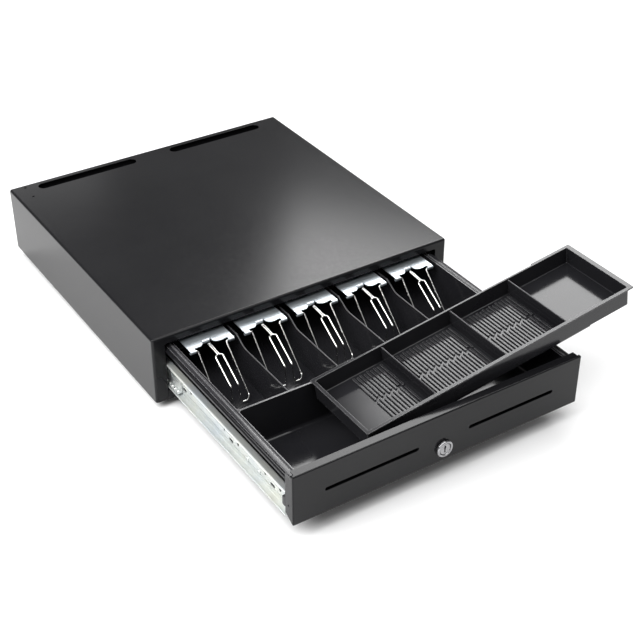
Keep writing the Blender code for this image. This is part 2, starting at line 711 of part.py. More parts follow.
def clip_wire(name, x):
    """One bent wire: two arms from the outer lugs to the feet, then up over the knees to the stem."""
    y, z = CLIP_AXIS_Y, CLIP_AXIS_Z
    half = [(-27 * MM, y, z), (-18.2 * MM, y, z), (-19.5 * MM, y - 47 * MM, z - 47.5 * MM),
            (-14.5 * MM, y - 53 * MM, z - 48.8 * MM), (-5.5 * MM, y - 52.5 * MM, z - 48.6 * MM),
            (-4.5 * MM, y - 50.5 * MM, z - 25.5 * MM), (-4.3 * MM, y - 19.5 * MM, z - 5.8 * MM),
            (-1.15 * MM, y - 15.5 * MM, z - 3.7 * MM), (-1.15 * MM, y + 7.2 * MM, z - 1.9 * MM)]
    corners = half + [(-u, v, w) for u, v, w in reversed(half)]
    points = [Vector((x, 0, 0)) + place for place in rounded_path(corners, 2.6 * MM)]
    return wire(name, points, WIRE_RADIUS, CHROME)


# ---- lock ------------------------------------------------------------------------------

def lock_housing():
    """The barrel and its bezel, turned about the lock's axis, with a bore for the plug."""
    face = 4 * MM
    profile = [(7.2 * MM, face - 1.2 * MM), (8.6 * MM, face), (9.6 * MM, face - 0.3 * MM),
               (LOCK_RADIUS, face - 1.2 * MM), (LOCK_RADIUS, GAP), (9.3 * MM, GAP), (9.3 * MM, -8.4 * MM),
               (7.2 * MM, -8.4 * MM)]
    return turned("lock_housing", profile, (0, FRONT_Y, LOCK_HEIGHT), "-y", CHROME, 28)


def lock_nut():
    centre = (0, LOCK_HEIGHT)
    outlines = [disc_points(centre, 12.5 * MM, 6), disc_points(centre, 9.6 * MM, 20)]
    return slab("lock_nut", "y", outlines, FRONT_Y + SHEET + GAP, FRONT_Y + SHEET + GAP + 2.8 * MM, ZINC)


def lock_plug():
    face, back = FRONT_Y - 2.9 * MM, FRONT_Y + 8.3 * MM
    plug = rod("lock_plug", "y", (0, LOCK_HEIGHT), 6.8 * MM, face, back, CHROME, 24)
    half_width, half_height, depth = 0.8 * MM, 4.2 * MM, 5.9 * MM
    key_slot = block("key_slot", (-half_width, face - depth, LOCK_HEIGHT - half_height),
                     (half_width, face + depth, LOCK_HEIGHT + half_height))
    return cut(plug, key_slot)


def lock_cam():
    """The bolt: level when unlocked, and behind the cabinet's front lip when turned down."""
    z = LOCK_HEIGHT
    outline = [(26 * MM, z - 4 * MM), (26 * MM, z + 4 * MM), (4 * MM, z + 5.5 * MM)]
    outline += disc_points((0, z), 5.5 * MM, 6, math.pi / 2, math.pi)[1:-1]
    outline += [(4 * MM, z - 5.5 * MM)]
    start = FRONT_Y + 8.6 * MM
    return slab("lock_cam", "y", [outline], start, start + 1.5 * MM, ZINC)


def striker():
    """A loop on the drawer's rear wall that the latch hook drops into."""
    start, skin = PAN_REAR + GAP, 1.5 * MM
    plate = block("striker", (-14 * MM, start, 22 * MM), (14 * MM, start + skin, 42 * MM), ZINC)
    tongue = block("striker_tongue", (-9 * MM, start, 29 * MM), (9 * MM, PAN_REAR + 18 * MM, 31 * MM))
    window = block("striker_window", (-4.5 * MM, PAN_REAR + 5 * MM, 20 * MM),
                   (4.5 * MM, PAN_REAR + 13 * MM, 40 * MM))
    join(plate, tongue)
    return cut(plate, window)


# ---- coin tray -------------------------------------------------------------------------

def coin_tray():
    """Drawn flat, with its rear left rim corner at the origin, then seated in the tilted frame."""
    inset, spare = TRAY_INSET, 5 * MM
    body_end = TRAY_LENGTH - TRAY_END_LIP
    tray = block("coin_tray", (inset, inset - TRAY_DEPTH, -TRAY_HEIGHT), (body_end, -inset, 0), BLACK_PLASTIC)
    rim = block("tray_rim", (0, -TRAY_DEPTH, -2 * MM), (TRAY_LENGTH, 0, 0))
    join(tray, rim)
    inside = block("tray_inside", (TRAY_RIM, TRAY_RIM - TRAY_DEPTH, TRAY_FLOOR),
                   (body_end - TRAY_WALL, -TRAY_RIM, 2 * spare))
    finger_room = block("tray_finger_room", (57 * MM, -inset, -spare), (308 * MM, spare, spare))
    cut(tray, inside, finger_room)
    tools = [rim, inside, finger_room]
    ends = (("left", -spare, TRAY_HEEL), ("right", TRAY_LENGTH - TRAY_HEEL, TRAY_LENGTH + spare))
    for name, start, end in ends:
        heel = block(f"tray_heel_{name}", (start, -TRAY_DEPTH - spare, -TRAY_HEIGHT - spare),
                     (end, spare, TRAY_HEEL_RISE - TRAY_HEIGHT))
        tools.append(heel)
        cut(tray, heel)
    return tray, tools


def coin_divider(name, place):
    half = DIVIDER / 2
    return block(name, (place - half, TRAY_RIM + GAP - TRAY_DEPTH, TRAY_FLOOR + GAP),
                 (place + half, -TRAY_RIM - GAP, -1.2 * MM), BLACK_PLASTIC)


# ---- assembly --------------------------------------------------------------------------

def build_cabinet():
    cabinet_cover()
    base_plate()
    rear_panel()
    for name, x, y in (("foot_front_left", -178, -180), ("foot_front_right", 178, -180),
                       ("foot_rear_left", -178, 180), ("foot_rear_right", 178, 180)):
        foot(name, x * MM, y * MM)
    connector_socket()
    latch_bracket()
    latch_pin()
    latch_spring()
    for label, side in (("left", -1), ("right", 1)):
        rail_bracket(f"rail_bracket_{label}", side)
        cabinet_rail(f"cabinet_rail_{label}", side)
        cage_axis = marker(f"cage_slide_{label}", (side * 184 * MM, -177 * MM, 32 * MM))
        attach(ball_cage(f"ball_cage_{label}", side), cage_axis)


def build_latch():
    latch_axis = marker("latch_axis", (0, LATCH_AXIS_Y, LATCH_AXIS_Z))
    attach(latch_lever(), latch_axis)
    solenoid_y = LATCH_AXIS_Y + 20 * MM
    plunger = solenoid(solenoid_y)[2]
    attach(plunger, marker("plunger_slide", (0, solenoid_y, 20 * MM)))
    pin = ejector()[1]
    attach(pin, marker("ejector_slide", (EJECTOR_X, 140 * MM, EJECTOR_Z)))


def build_drawer():
    slide = marker("drawer_slide", (0, FRONT_Y, LOCK_HEIGHT))
    pieces = [drawer_front(), drawer_pan(), till_tray(), striker(), lock_housing(), lock_nut()]
    for label, side in (("left", -1), ("right", 1)):
        pieces.append(drawer_rail(f"drawer_rail_{label}", side))
    middles, pitch = compartment_middles()
    for index, middle in enumerate(middles, 1):
        pieces.append(clip_bracket(f"clip_bracket_{index}", middle))
        if index < BILL_COMPARTMENTS:
            pieces.append(bill_divider(f"bill_divider_{index}", middle + pitch / 2))
    attach_all(pieces, slide)
    for index, middle in enumerate(middles, 1):
        clip_axis = marker(f"clip_axis_{index}", (middle, CLIP_AXIS_Y, CLIP_AXIS_Z), slide)
        attach(clip_wire(f"clip_wire_{index}", middle), clip_axis)
    lock_axis = marker("lock_axis", (0, FRONT_Y, LOCK_HEIGHT), slide)
    attach_all([lock_plug(), lock_cam()], lock_axis)
    return slide


def build_coin_tray(slide):
    lift = marker("tray_lift", TRAY_CORNER, slide)
    frame = marker("tray_frame", TRAY_CORNER, lift, (0, -TRAY_TILT, 0))
    tray, tools = coin_tray()
    seat([tray, *tools], frame)
    seat([coin_divider(f"coin_divider_{index}", place) for index, place in enumerate(COIN_WALLS, 1)], frame)


build_cabinet()
build_latch()
build_coin_tray(build_drawer())
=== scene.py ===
"""Looks for the cash drawer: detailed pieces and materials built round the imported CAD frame."""

import math

import bmesh
import bpy
from mathutils import Matrix, Vector


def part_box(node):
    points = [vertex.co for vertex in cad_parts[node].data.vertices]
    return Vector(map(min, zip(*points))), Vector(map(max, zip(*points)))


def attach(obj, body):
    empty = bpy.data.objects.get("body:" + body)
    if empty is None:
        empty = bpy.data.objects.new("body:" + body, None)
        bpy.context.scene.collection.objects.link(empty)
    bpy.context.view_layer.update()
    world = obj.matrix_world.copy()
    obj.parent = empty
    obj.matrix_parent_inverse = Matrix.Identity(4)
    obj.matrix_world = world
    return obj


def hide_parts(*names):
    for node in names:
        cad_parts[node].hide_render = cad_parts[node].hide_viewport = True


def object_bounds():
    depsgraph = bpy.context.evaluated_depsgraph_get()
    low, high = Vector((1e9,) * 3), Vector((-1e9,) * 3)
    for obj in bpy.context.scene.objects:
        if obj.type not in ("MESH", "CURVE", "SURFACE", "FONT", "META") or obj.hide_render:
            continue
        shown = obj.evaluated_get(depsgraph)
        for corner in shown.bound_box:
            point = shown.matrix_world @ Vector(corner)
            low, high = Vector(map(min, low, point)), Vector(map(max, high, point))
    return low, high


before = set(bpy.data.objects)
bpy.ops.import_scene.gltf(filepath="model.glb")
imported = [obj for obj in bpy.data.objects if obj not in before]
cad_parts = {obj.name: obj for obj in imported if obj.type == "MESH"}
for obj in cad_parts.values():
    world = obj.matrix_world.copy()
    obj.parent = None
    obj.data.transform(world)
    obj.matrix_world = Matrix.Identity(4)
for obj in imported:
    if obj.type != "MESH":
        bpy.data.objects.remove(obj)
CAD_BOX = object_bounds()

MM = 0.001
GAP = 0.3 * MM
SHEET = 1.2 * MM            # cabinet and drawer front steel
PAN_SHEET = 1.0 * MM
RAIL_SHEET = 1.1 * MM
CABINET_BEND = 3 * MM
WIRE_RADIUS = 0.9 * MM
CLIP_AXIS = (-228 * MM, 69.6 * MM)       # where the bill clips turn, as y and z
SPARE = 20 * MM             # how far a cutter reaches past what it cuts
FLOOR_LEVEL = CAD_BOX[0][2]

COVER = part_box("cabinet_cover")
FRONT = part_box("drawer_front")
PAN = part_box("drawer_pan")
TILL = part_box("till_tray")
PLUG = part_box("lock_plug")
LOCK_MIDDLE = (PLUG[0] + PLUG[1]) / 2

# ---- meshes ----------------------------------------------------------------------------

PLANES = {"x": (1, 2, 0), "y": (0, 2, 1), "z": (0, 1, 2)}   # two drawing axes, then the thickness


def add_object(name, mesh, finish=None):
    item = bpy.data.objects.new(name, mesh)
    bpy.context.scene.collection.objects.link(item)
    if finish is not None:
        mesh.materials.append(finish)
    return item


def add_shape(name, shape, finish=None):
    bmesh.ops.recalc_face_normals(shape, faces=shape.faces)
    mesh = bpy.data.meshes.new(name)
    shape.to_mesh(mesh)
    shape.free()
    return add_object(name, mesh, finish)


def prism(name, plane, outline, start, end, finish=None):
    """A flat outline given thickness along the plane's axis."""
    across, upward, through = PLANES[plane]
    shape = bmesh.new()
    rings = []
    for depth in (start, end):
        ring = []
        for point in outline:
            place = Vector((0, 0, 0))
            place[across], place[upward], place[through] = point[0], point[1], depth
            ring.append(shape.verts.new(place))
        shape.faces.new(ring)
        rings.append(ring)
    near, far = rings
    for index in range(len(outline)):
        following = (index + 1) % len(outline)
        shape.faces.new((near[index], near[following], far[following], far[index]))
    return add_shape(name, shape, finish)


def block(name, low, high, finish=None):
    outline = [(low[0], low[1]), (high[0], low[1]), (high[0], high[1]), (low[0], high[1])]
    return prism(name, "z", outline, low[2], high[2], finish)


def mirrored_block(name, side, low, high, finish=None):
    """A box given for the right side, on the side that `side` says (1 right, -1 left)."""
    near, far = sorted((side * low[0], side * high[0]))
    return block(name, (near, low[1], low[2]), (far, high[1], high[2]), finish)


def bake(item):
    """Turn an object's modifiers into its mesh."""
    bpy.context.view_layer.update()
    evaluated = item.evaluated_get(bpy.context.evaluated_depsgraph_get())
    mesh = bpy.data.meshes.new_from_object(evaluated)
    item.modifiers.clear()
    item.data = mesh
    return item


def round_block(name, low, high, radius, steps=5, finish=None):
    """A box whose edges are all rounded."""
    item = block(name, low, high, finish)
    modifier = item.modifiers.new("round", "BEVEL")
    modifier.width = radius
    modifier.segments = steps
    return bake(item)


def combine(target, tools, operation="DIFFERENCE"):
    for tool in tools:
        modifier = target.modifiers.new(tool.name, "BOOLEAN")
        modifier.operation = operation
        modifier.solver = "EXACT"
        modifier.object = tool
    bake(target)
    for tool in tools:
        bpy.data.objects.remove(tool, do_unlink=True)
    return target


def carve(target, *tools):
    return combine(target, tools)


def fuse(target, *tools):
    return combine(target, tools, "UNION")


def soften(item, width, steps=3, angle=35):
    """Round the sharp edges, and shade the rest smoothly without bending the flat faces."""
    modifier = item.modifiers.new("edges", "BEVEL")
    modifier.width = width
    modifier.segments = steps
    modifier.limit_method = "ANGLE"
    modifier.angle_limit = math.radians(angle)
    bake(item)
    item.data.shade_smooth()
    normals = item.modifiers.new("flat faces", "WEIGHTED_NORMAL")
    normals.keep_sharp = True
    return item


def disc(centre, radius, steps=32, start=0.0, sweep=math.tau):
    count = steps if abs(sweep) > 6.28 else steps + 1
    angles = [start + sweep * index / steps for index in range(count)]
    return [(centre[0] + radius * math.cos(a), centre[1] + radius * math.sin(a)) for a in angles]


def slot(centre, length, width, steps=12):
    """A slot with round ends, lying along the first direction."""
    reach = (length - width) / 2
    right = disc((centre[0] + reach, centre[1]), width / 2, steps, -math.pi / 2, math.pi)
    left = disc((centre[0] - reach, centre[1]), width / 2, steps, math.pi / 2, math.pi)
    return right + left


def rod(name, plane, centre, radius, start, end, finish=None, steps=32):
    return prism(name, plane, disc(centre, radius, steps), start, end, finish)


def rounded(points, radius, closed=False, steps=5):
    """A line of points with its corners turned into short curves."""
    places = [Vector(point) for point in points]
    line = []
    for index, corner in enumerate(places):
        if not closed and index in (0, len(places) - 1):
            line.append(corner)
            continue
        before, after = places[index - 1], places[(index + 1) % len(places)]
        reach = min(radius, 0.48 * (before - corner).length, 0.48 * (after - corner).length)
        enter = corner + (before - corner).normalized() * reach
        leave = corner + (after - corner).normalized() * reach
        for step in range(steps + 1):
            share = step / steps
            line.append(enter.lerp(corner, share).lerp(corner.lerp(leave, share), share))
    return line


def rectangle(low, high, radius, steps=6):
    corners = [(low[0], low[1]), (high[0], low[1]), (high[0], high[1]), (low[0], high[1])]
    return rounded(corners, radius, True, steps)


def folded(path, thickness, bend, steps=5):
    """The closed outline of a sheet of one thickness, bent along its middle line."""
    line = rounded(path, bend, steps=steps)
    above, below = [], []
    for index, point in enumerate(line):
        along = line[min(index + 1, len(line) - 1)] - line[max(index - 1, 0)]
        across = Vector((-along.y, along.x)).normalized() * thickness / 2
        above.append(point + across)
        below.append(point - across)
    return above + below[::-1]


def lathe(name, profile, centre, direction, finish, steps=48, closed=False):
    """Turn a profile of (radius, height) about a line through centre."""
    turn = Vector(direction).to_track_quat("Z", "Y").to_matrix().to_4x4()
    place = Matrix.Translation(Vector(centre)) @ turn
    shape = bmesh.new()
    rings = []
    for radius, height in profile:
        if radius < 1e-7:
            rings.append([shape.verts.new(place @ Vector((0, 0, height)))])
            continue
        ring = disc((0, 0), radius, steps)
        rings.append([shape.verts.new(place @ Vector((u, v, height))) for u, v in ring])
    pairs = list(zip(rings, rings[1:]))
    if closed:
        pairs.append((rings[-1], rings[0]))
    for first, second in pairs:
        for index in range(steps):
            following = (index + 1) % steps
            corners = [first[index % len(first)], first[following % len(first)],
                       second[following % len(second)], second[index % len(second)]]
            shape.faces.new(list(dict.fromkeys(corners)))
    return add_shape(name, shape, finish)


def tube(name, points, radius, finish, sides=3):
    """A round wire along a line of points, with its ends closed."""
    curve = bpy.data.curves.new(name, "CURVE")
    curve.dimensions = "3D"
    curve.bevel_depth = radius
    curve.bevel_resolution = sides
    curve.use_fill_caps = True
    spline = curve.splines.new("POLY")
    spline.points.add(len(points) - 1)
    for point, place in zip(spline.points, points):
        point.co = (*place, 1)
    drawing = bpy.data.objects.new(name + "_line", curve)
    bpy.context.scene.collection.objects.link(drawing)
    bpy.context.view_layer.update()
    evaluated = drawing.evaluated_get(bpy.context.evaluated_depsgraph_get())
    mesh = bpy.data.meshes.new_from_object(evaluated)
    bpy.data.objects.remove(drawing, do_unlink=True)
    shape = bmesh.new()
    shape.from_mesh(mesh)
    bmesh.ops.remove_doubles(shape, verts=shape.verts, dist=1e-6)
    mesh.materials.clear()
    item = add_shape(name, shape, finish)
    smooth(item)
    return item


def smooth(item, angle=40):
    item.data.shade_smooth()
    item.data.set_sharp_from_angle(angle=math.radians(angle))
    return item


def settle(item, body, slot_name, *nodes):
    """Say what a finished piece rides on and hide the CAD nodes it stands for; slot_name is not used."""
    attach(item, body)
    if nodes:
        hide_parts(*nodes)
    return item


# ---- materials -------------------------------------------------------------------------

class Finish:
    """A material under construction: its node tree, its shader and the object's coordinates."""

    def __init__(self, name, colour, roughness, metallic=0.0):
        self.material = bpy.data.materials.new(name)
        self.material.use_nodes = True
        self.material.diffuse_color = (*colour, 1.0)
        self.tree = self.material.node_tree
        self.shader = self.tree.nodes["Principled BSDF"]
        self.shader.inputs["Base Color"].default_value = (*colour, 1.0)
        self.shader.inputs["Roughness"].default_value = roughness
        self.shader.inputs["Metallic"].default_value = metallic
        self.coordinates = self.tree.nodes.new("ShaderNodeTexCoord").outputs["Object"]

    def link(self, source, target):
        self.tree.links.new(source, target)

    def stretched(self, scale):
        mapping = self.tree.nodes.new("ShaderNodeMapping")
        mapping.inputs["Scale"].default_value = scale
        self.link(self.coordinates, mapping.inputs["Vector"])
        return mapping.outputs["Vector"]

    def noise(self, scale, detail=2.0, stretch=(1, 1, 1)):
        """Grain with about `scale` grains in a metre."""
        texture = self.tree.nodes.new("ShaderNodeTexNoise")
        texture.inputs["Scale"].default_value = scale
        texture.inputs["Detail"].default_value = detail
        self.link(self.stretched(stretch), texture.inputs["Vector"])
        return texture.outputs["Fac"]

    def cells(self, scale):
        texture = self.tree.nodes.new("ShaderNodeTexVoronoi")
        texture.feature = "SMOOTH_F1"
        texture.inputs["Scale"].default_value = scale
        self.link(self.coordinates, texture.inputs["Vector"])
        return texture.outputs["Distance"]

    def between(self, source, low, high, start=0.3, end=0.7):
        spread = self.tree.nodes.new("ShaderNodeMapRange")
        spread.inputs["From Min"].default_value = start
        spread.inputs["From Max"].default_value = end
        spread.inputs["To Min"].default_value = low
        spread.inputs["To Max"].default_value = high
        self.link(source, spread.inputs["Value"])
        return spread.outputs["Result"]

    def blend(self, factor, first, second):
        mix = self.tree.nodes.new("ShaderNodeMix")
        mix.data_type = "RGBA"
        for name, colour in (("A_Color", first), ("B_Color", second)):
            socket = next(s for s in mix.inputs if s.identifier == name)
            if isinstance(colour, tuple):
                socket.default_value = (*colour, 1.0)
            else:
                self.link(colour, socket)
        self.link(factor, next(s for s in mix.inputs if s.identifier == "Factor_Float"))
        return next(s for s in mix.outputs if s.identifier == "Result_Color")

    def edges(self, reach):
        """1 on convex edges, 0 elsewhere; the mask for the painted edge highlights."""
        rounded_normal = self.tree.nodes.new("ShaderNodeBevel")
        rounded_normal.samples = 4
        rounded_normal.inputs["Radius"].default_value = reach
        geometry = self.tree.nodes.new("ShaderNodeNewGeometry")
        compare = self.tree.nodes.new("ShaderNodeVectorMath")
        compare.operation = "DOT_PRODUCT"
        self.link(rounded_normal.outputs["Normal"], compare.inputs[0])
        self.link(geometry.outputs["Normal"], compare.inputs[1])
        return self.between(compare.outputs["Value"], 1.0, 0.0, 0.88, 0.99)

    def bump(self, height, strength, distance, before=None):
        relief = self.tree.nodes.new("ShaderNodeBump")
        relief.inputs["Strength"].default_value = strength
        relief.inputs["Distance"].default_value = distance
        self.link(height, relief.inputs["Height"])
        if before is not None:
            self.link(before, relief.inputs["Normal"])
        self.link(relief.outputs["Normal"], self.shader.inputs["Normal"])
        return relief.outputs["Normal"]

    def colour(self, source):
        self.link(source, self.shader.inputs["Base Color"])

    def roughness(self, source):
        self.link(source, self.shader.inputs["Roughness"])


def powder_coat():
    """Fine satin black powder coat, with a painted highlight: a greyer colour along its convex edges."""
    finish = Finish("powder_coat", (0.010, 0.010, 0.011), 0.32)
    finish.shader.inputs["Specular IOR Level"].default_value = 0.21
    tint = finish.between(finish.noise(9, 3), 0, 1)
    body = finish.blend(tint, (0.006, 0.006, 0.007), (0.009, 0.009, 0.010))
    # Painted highlight: convex edges are blended towards a lighter grey.
    finish.colour(finish.blend(finish.edges(0.5 * MM), body, (0.028, 0.028, 0.030)))
    finish.roughness(finish.between(finish.noise(220, 3), 0.15, 0.19))
    skin = finish.bump(finish.cells(1500), 0.03, 0.03 * MM)
    finish.bump(finish.noise(420, 2), 0.02, 0.03 * MM, skin)
    return finish.material


def zinc_plate():
    """Satin zinc with the rolling direction of its sheet and a faint blue passivation."""
    finish = Finish("zinc_plate", (0.74, 0.76, 0.77), 0.42, 0.7)
    tint = finish.between(finish.noise(25, 2), 0, 1)
    finish.colour(finish.blend(tint, (0.60, 0.64, 0.67), (0.70, 0.71, 0.66)))
    drawn = finish.noise(700, 2, (1, 0.02, 1))
    finish.roughness(finish.between(drawn, 0.38, 0.46))
    finish.bump(drawn, 0.01, 0.01 * MM)
    return finish.material


def bright_plate():
    """The brighter zinc of the clip brackets, brushed from side to side."""
    finish = Finish("bright_zinc_plate", (0.84, 0.88, 0.90), 0.42, 1.0)
    finish.colour(finish.blend(finish.between(finish.noise(60, 2), 0, 1), (0.78, 0.85, 0.90),
                               (0.83, 0.89, 0.93)))
    drawn = finish.noise(800, 2, (0.05, 1, 1))
    finish.roughness(finish.between(drawn, 0.38, 0.46))
    finish.bump(drawn, 0.01, 0.02 * MM)
    return finish.material


def chrome():
    """Chromed wire and lock parts, with faint drawing lines."""
    finish = Finish("chrome", (0.80, 0.80, 0.78), 0.10, 1.0)
    finish.colour(finish.blend(finish.between(finish.noise(130, 2), 0, 1), (0.74, 0.74, 0.71),
                               (0.86, 0.86, 0.85)))
    finish.roughness(finish.between(finish.noise(600, 3), 0.07, 0.17))
    finish.bump(finish.noise(1600, 2), 0.04, 0.02 * MM)
    return finish.material


def lock_metal():
    """The duller plated zinc casting of the key lock."""
    finish = Finish("lock_metal", (0.36, 0.36, 0.37), 0.24, 1.0)
    tint = finish.between(finish.noise(150, 2), 0, 1)
    finish.colour(finish.blend(tint, (0.32, 0.32, 0.33), (0.40, 0.40, 0.41)))
    finish.roughness(finish.between(finish.noise(500, 3), 0.20, 0.30))
    finish.bump(finish.noise(1400, 2), 0.04, 0.02 * MM)
    return finish.material


def glossy_plastic():
    """Glossy black moulded ABS with flow variation, and a pale painted highlight along its edges."""
    finish = Finish("glossy_black_plastic", (0.009, 0.009, 0.011), 0.10)
    finish.shader.inputs["Specular IOR Level"].default_value = 0.34
    tint = finish.between(finish.noise(14, 2), 0, 1)
    body = finish.blend(tint, (0.013, 0.013, 0.015), (0.018, 0.018, 0.020))
    # Painted highlight: edges are blended towards a pale grey.
    finish.colour(finish.blend(finish.edges(0.8 * MM), body, (0.30, 0.30, 0.305)))
    finish.roughness(finish.between(finish.noise(25, 2), 0.12, 0.16))
    finish.bump(finish.noise(15, 1), 0.01, 0.1 * MM)
    return finish.material


def rubber():
    finish = Finish("foot_rubber", (0.018, 0.018, 0.018), 0.8)
    finish.colour(finish.blend(finish.between(finish.noise(80, 3), 0, 1), (0.013, 0.013, 0.013),
                               (0.028, 0.027, 0.026)))
    finish.roughness(finish.between(finish.noise(300, 2), 0.7, 0.9))
    finish.bump(finish.noise(1800, 2), 0.25, 0.08 * MM)
    return finish.material


def matt_plastic():
    """The matt moulded plastic of the socket and the slide bumpers."""
    finish = Finish("matt_black_plastic", (0.03, 0.03, 0.032), 0.5)
    finish.colour(finish.blend(finish.between(finish.noise(120, 2), 0, 1), (0.024, 0.024, 0.026),
                               (0.04, 0.04, 0.042)))
    finish.roughness(finish.between(finish.noise(400, 2), 0.42, 0.6))
    finish.bump(finish.noise(2500, 2), 0.12, 0.05 * MM)
    return finish.material


def enamelled_copper():
    """Copper wire under clear enamel, with a thread line between the turns."""
    finish = Finish("enamelled_copper", (0.50, 0.17, 0.06), 0.3, 0.9)
    finish.colour(finish.blend(finish.between(finish.noise(500, 2), 0, 1), (0.42, 0.13, 0.04),
                               (0.62, 0.25, 0.09)))
    finish.roughness(finish.between(finish.noise(700, 2), 0.22, 0.4))
    finish.bump(finish.noise(2500, 1, (0.1, 0.1, 1)), 0.2, 0.05 * MM)
    return finish.material


def pale_floor():
    finish = Finish("pale_floor", (0.93, 0.93, 0.93), 0.6)
    finish.shader.inputs["Specular IOR Level"].default_value = 0.1
    finish.colour(finish.blend(finish.between(finish.noise(3, 2), 0, 1), (0.925, 0.925, 0.925),
                               (0.935, 0.935, 0.935)))
    finish.roughness(finish.between(finish.noise(30, 2), 0.55, 0.65))
    finish.bump(finish.noise(300, 2), 0.02, 0.05 * MM)
    return finish.material


POWDER = powder_coat()
ZINC = zinc_plate()
BRIGHT_ZINC = bright_plate()
CHROME = chrome()
LOCK_METAL = lock_metal()
GLOSS = glossy_plastic()
RUBBER = rubber()
MATT = matt_plastic()
COPPER = enamelled_copper()


# ---- screws ----------------------------------------------------------------------------

def screw(name, place, direction, radius, body):
    """A pan head with a crossed recess, standing on `place` and facing `direction`."""
    rise = radius * 0.62
    edge = radius * 0.18
    profile = [(0, rise)] + [(radius * math.sin(a), edge + (rise - edge) * math.cos(a))
                             for a in (0.35, 0.7, 1.0, 1.25, 1.45, math.pi / 2)]
    profile += [(radius, 0), (0, 0)]
    head = lathe(name, profile, (0, 0, 0), (0, 0, 1), ZINC, 28)
    reach, width = radius * 0.62, radius * 0.15
    arms = [block(name + "_recess_a", (-reach, -width, rise * 0.45), (reach, width, rise * 2)),
            block(name + "_recess_b", (-width, -reach, rise * 0.45), (width, reach, rise * 2))]
    carve(head, fuse(*arms))
    turn = Vector(direction).to_track_quat("Z", "Y").to_matrix().to_4x4()
    head.data.transform(Matrix.Translation(Vector(place)) @ turn)
    smooth(head)
    return settle(head, body, "zinc_plated_steel")


# ---- cabinet ---------------------------------------------------------------------------

def cabinet_cover():
    low, high = COVER
    mouth_half = FRONT[1].x + 0.6 * MM
    mouth_top = FRONT[1].z + GAP
    cover = round_block("cover_shell", (low.x, low.y, low.z - SPARE), (high.x, high.y + SPARE, high.z),
                        CABINET_BEND, 6, POWDER)
    inside = round_block("cover_inside", (low.x + SHEET, low.y + SHEET, low.z - 2 * SPARE),
                         (high.x - SHEET, high.y + 2 * SPARE, high.z - SHEET), CABINET_BEND - SHEET, 4)
    below = block("cover_below", (low.x - SPARE, low.y - SPARE, low.z - 3 * SPARE),
                  (high.x + SPARE, high.y + 3 * SPARE, low.z))
    behind = block("cover_behind", (low.x - SPARE, high.y, low.z - 3 * SPARE),
                   (high.x + SPARE, high.y + 3 * SPARE, high.z + SPARE))
    mouth = prism("cover_mouth", "y", rectangle((-mouth_half, low.z - SPARE), (mouth_half, mouth_top),
                                                3 * MM),
                  low.y - SPARE, low.y + SPARE)
    tools = [inside, below, behind, mouth]
    for side in (-1, 1):
        tools.append(prism("top_slot", "z", slot((side * 98 * MM, 193 * MM), 143 * MM, 15 * MM, 16),
                           high.z - 5 * MM, high.z + 5 * MM))
    for hole_y in (200.7 * MM, 173.3 * MM):
        tools.append(rod("top_hole", "z", (-185.4 * MM, hole_y), 1.6 * MM, high.z - 5 * MM, high.z + 5 * MM,
                         steps=20))
    carve(cover, *tools)
    soften(cover, 0.3 * MM)
    return settle(cover, "cabinet", "powder_coated_steel", "cabinet_cover")


def rear_panel():
    low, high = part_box("rear_panel")
    outline = rounded([(low.x, low.z), (high.x, low.z), (high.x, high.z), (low.x, high.z)], 1.8 * MM, True)
    panel = prism("rear_sheet", "y", outline, high.y - SHEET, high.y, POWDER)
    tools = [prism("socket_hole", "y", rectangle((-141 * MM, 19 * MM), (-127 * MM, 31 * MM), 1 * MM),
                   high.y - 5 * MM, high.y + 5 * MM)]
    for row in range(3):
        tools.append(prism("vent", "y", slot((90 * MM, (30 + 12 * row) * MM), 70 * MM, 4 * MM),
                           high.y - 5 * MM, high.y + 5 * MM))
    carve(panel, *tools)
    for side in (-1, 1):
        flange = mirrored_block("rear_flange", side, (high.x - SHEET, low.y, 16 * MM),
                                (high.x, high.y - SHEET / 2, high.z - CABINET_BEND))
        fuse(panel, flange)
    soften(panel, 0.25 * MM)
    settle(panel, "cabinet", "powder_coated_steel", "rear_panel")
    for index, (x, z) in enumerate(((-190, 44), (190, 44), (-100, 78), (0, 78), (100, 78))):
        screw(f"rear_screw_{index}", (x * MM, high.y, z * MM), (0, 1, 0), 2.8 * MM, "cabinet")


def feet():
    for row in ("front", "rear"):
        for side in ("left", "right"):
            node = f"foot_{row}_{side}"
            low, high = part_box(node)
            middle = (low + high) / 2
            top = high.z
            profile = [(0, top), (11 * MM, top), (11.0 * MM, -2.6 * MM), (10.8 * MM, -3.4 * MM),
                       (9.7 * MM, -8.6 * MM), (9.2 * MM, low.z + 0.25 * MM), (8.6 * MM, low.z),
                       (5.2 * MM, low.z), (4.7 * MM, low.z + 0.4 * MM), (4.5 * MM, -5 * MM),
                       (0, -5 * MM)]
            foot = lathe(f"{node}_moulding", profile, (middle.x, middle.y, 0), (0, 0, 1), RUBBER, 40)
            smooth(foot, 32)
            settle(foot, "cabinet", "black_rubber", node)
            screw(f"{node}_screw", (middle.x, middle.y, -5 * MM), (0, 0, -1), 3.4 * MM, "cabinet")


def connector_socket():
    low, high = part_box("connector_socket")
    body = block("socket_body", low, high, MATT)
    mouth_outline = [(-138.5, 21.5), (-129.5, 21.5), (-129.5, 28.5), (-132, 28.5), (-132, 29.7), (-136, 29.7),
                     (-136, 28.5), (-138.5, 28.5)]
    mouth = prism("socket_mouth", "y", [(u * MM, v * MM) for u, v in mouth_outline], high.y - 12 * MM,
                  high.y + SPARE)
    carve(body, mouth)
    soften(body, 0.25 * MM)
    settle(body, "cabinet", "socket_plastic", "connector_socket")
    for index in range(6):
        x = (-136.9 + 1.16 * index) * MM
        start, end = high.y - 11.5 * MM, high.y - 3 * MM
        points = rounded([(x, start, 22.2 * MM), (x, end, 22.2 * MM), (x, start + 3 * MM, 24.4 * MM)],
                         0.8 * MM)
        contact = tube(f"socket_contact_{index}", points, 0.22 * MM, BRIGHT_ZINC)
        settle(contact, "cabinet", "zinc_plated_steel")


